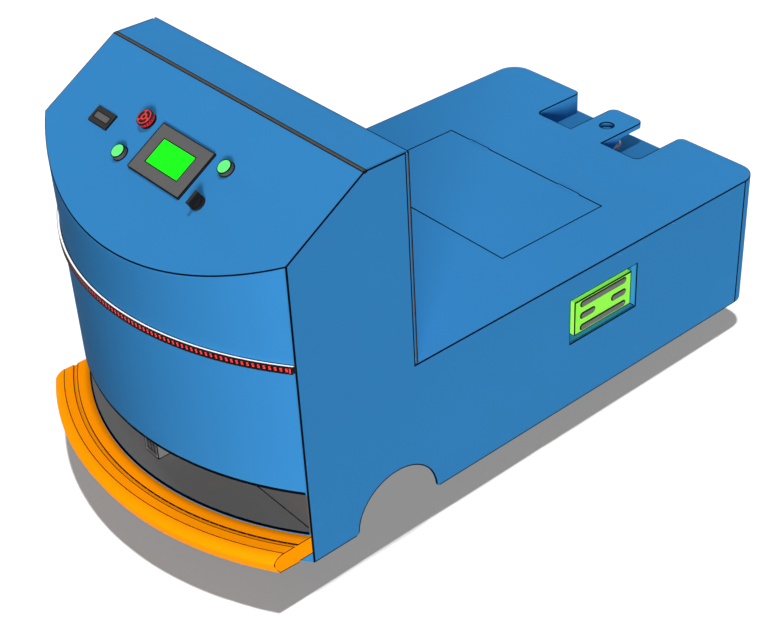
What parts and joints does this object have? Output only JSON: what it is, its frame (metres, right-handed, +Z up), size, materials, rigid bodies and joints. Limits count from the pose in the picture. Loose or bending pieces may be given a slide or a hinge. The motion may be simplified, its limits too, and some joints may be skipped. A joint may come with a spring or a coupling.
{
  "type": "guided tow vehicle",
  "caption": "Low guided tow vehicle with a front console, curved scanner bay and bumper, flat deck, battery hatch and rear hitch tongue.",
  "frame": {"origin": "on the floor, at the middle of the vehicle's length and width", "axes": "+X forward towards the bumper, +Y to the vehicle's left, +Z up"},
  "size_m": [1.145, 0.6, 0.655],
  "materials": {
    "body_paint": "satin blue powder coat",
    "frame_paint": "satin dark grey paint",
    "bay_paint": "matt grey paint",
    "bumper_foam": "smooth orange skin",
    "bumper_rail_paint": "satin orange paint",
    "black_plastic": "fine matt texture",
    "grey_plastic": "fine matt texture",
    "white_plastic": "smooth white",
    "lamp_red": "lit lens",
    "screen_green": "lit panel",
    "cap_green": "polished lens",
    "estop_red": "polished",
    "insulator_green": "moulded",
    "contact_metal": "dull plated",
    "steel": "ground steel",
    "zinc": "zinc plated",
    "aluminium": "machined",
    "seal_rubber": "matt sponge",
    "tyre": "polyurethane",
    "scanner_lens": "dark filter",
    "gauge_glass": "polished"
  },
  "bodies": {
    "chassis": {"side_panel_left": "body_paint", "side_panel_right": "body_paint", "deck_plate": "body_paint", "rear_shell": "body_paint", "front_skirt": "body_paint", "front_cover": "body_paint", "control_panel": "body_paint", "bay_floor": "bay_paint", "bay_ceiling": "bay_paint", "bay_back": "bay_paint", "frame_rails": "frame_paint", "frame_crossmembers": "frame_paint", "frame_posts": "frame_paint", "battery_tray": "frame_paint", "battery_pack": "grey_plastic", "hitch_tongue": "body_paint", "pin_guide": "zinc", "pin_actuator": "aluminium", "door_hinge": "zinc", "door_gasket": "seal_rubber", "bumper_rail": "bumper_rail_paint", "bumper_foam": "bumper_foam", "led_channel": "white_plastic", "led_modules": "lamp_red", "charge_pocket": "body_paint", "charge_block": "insulator_green", "charge_contacts": "contact_metal", "hmi_housing": "grey_plastic", "hmi_screen": "screen_green", "button_bezel_left": "grey_plastic", "button_bezel_right": "grey_plastic", "estop_base": "black_plastic", "selector_base": "black_plastic", "gauge_frame": "black_plastic", "gauge_window": "gauge_glass", "scanner_housing": "grey_plastic", "scanner_window": "scanner_lens", "slew_mount": "steel", "caster_plates": "zinc", "electronics_plate": "zinc", "control_modules": "grey_plastic"},
    "service_door": {"door_panel": "body_paint"},
    "battery_hatch": {"hatch_lid": "body_paint"},
    "hitch_pin": {"tow_pin": "steel"},
    "estop_plunger": {"estop_stem": "black_plastic"},
    "estop_mushroom": {"estop_head": "estop_red"},
    "button_left": {"button_cap_left": "cap_green"},
    "button_right": {"button_cap_right": "cap_green"},
    "selector": {"selector_knob": "black_plastic"},
    "drive_bogie": {"bogie_frame": "frame_paint", "drive_motors": "aluminium"},
    "drive_wheel_left": {"drive_hub_left": "aluminium", "drive_tyre_left": "tyre"},
    "drive_wheel_right": {"drive_hub_right": "aluminium", "drive_tyre_right": "tyre"},
    "caster_left": {"caster_fork_left": "zinc"},
    "caster_right": {"caster_fork_right": "zinc"},
    "caster_roller_left": {"caster_wheel_left": "tyre"},
    "caster_roller_right": {"caster_wheel_right": "tyre"},
    "scanner_mirror": {"scanner_rotor": "aluminium"}
  },
  "joints": [
    {"name": "service_door_hinge", "type": "hinge", "parent": "chassis", "child": "service_door", "pos_m": [0.20033, 0, 0.31], "axis": [0, -1, 0], "range_deg": [0, 90]},
    {"name": "battery_hatch_hinge", "type": "hinge", "parent": "chassis", "child": "battery_hatch", "pos_m": [-0.30042, 0, 0.3045], "axis": [0, -1, 0], "range_deg": [0, 100]},
    {"name": "hitch_pin_lift", "type": "slide", "parent": "chassis", "child": "hitch_pin", "axis": [0, 0, 1], "range_m": [0, 0.05]},
    {"name": "estop_press", "type": "slide", "parent": "chassis", "child": "estop_plunger", "axis": [-0.53, 0, -0.848], "range_m": [0, 0.003]},
    {"name": "estop_release_turn", "type": "hinge", "parent": "estop_plunger", "child": "estop_mushroom", "pos_m": [0.35882, -0.0975, 0.60657], "axis": [0.53, 0, 0.848], "range_deg": [0, 45], "stiffness_Nm_per_rad": 0.02},
    {"name": "button_left_press", "type": "slide", "parent": "chassis", "child": "button_left", "axis": [-0.53, 0, -0.848], "range_m": [0, 0.003], "stiffness_N_per_m": 400},
    {"name": "button_right_press", "type": "slide", "parent": "chassis", "child": "button_right", "axis": [-0.53, 0, -0.848], "range_m": [0, 0.003], "stiffness_N_per_m": 400},
    {"name": "selector_turn", "type": "hinge", "parent": "chassis", "child": "selector", "pos_m": [0.41114, 0.096, 0.57387], "axis": [0.53, 0, 0.848], "range_deg": [-45, 45]},
    {"name": "drive_bogie_swivel", "type": "hinge", "parent": "chassis", "child": "drive_bogie", "pos_m": [0.25533, 0, 0.1137], "axis": [0, 0, 1], "range_deg": [-90, 90]},
    {"name": "drive_wheel_left_spin", "type": "hinge", "parent": "drive_bogie", "child": "drive_wheel_left", "pos_m": [0.25533, 0.1025, 0.06], "axis": [0, 1, 0], "continuous": true},
    {"name": "caster_left_swivel", "type": "hinge", "parent": "chassis", "child": "caster_left", "pos_m": [-0.47017, 0.2, 0.1147], "axis": [0, 0, 1], "continuous": true},
    {"name": "caster_left_spin", "type": "hinge", "parent": "caster_left", "child": "caster_roller_left", "pos_m": [-0.50817, 0.2, 0.05], "axis": [0, 1, 0], "continuous": true},
    {"name": "drive_wheel_right_spin", "type": "hinge", "parent": "drive_bogie", "child": "drive_wheel_right", "pos_m": [0.25533, -0.1025, 0.06], "axis": [0, 1, 0], "continuous": true},
    {"name": "caster_right_swivel", "type": "hinge", "parent": "chassis", "child": "caster_right", "pos_m": [-0.47017, -0.2, 0.1147], "axis": [0, 0, 1], "continuous": true},
    {"name": "caster_right_spin", "type": "hinge", "parent": "caster_right", "child": "caster_roller_right", "pos_m": [-0.50817, -0.2, 0.05], "axis": [0, 1, 0], "continuous": true},
    {"name": "scanner_mirror_spin", "type": "hinge", "parent": "chassis", "child": "scanner_mirror", "pos_m": [0.46733, -0.009, 0.1143], "axis": [0, 0, 1], "continuous": true}
  ]
}
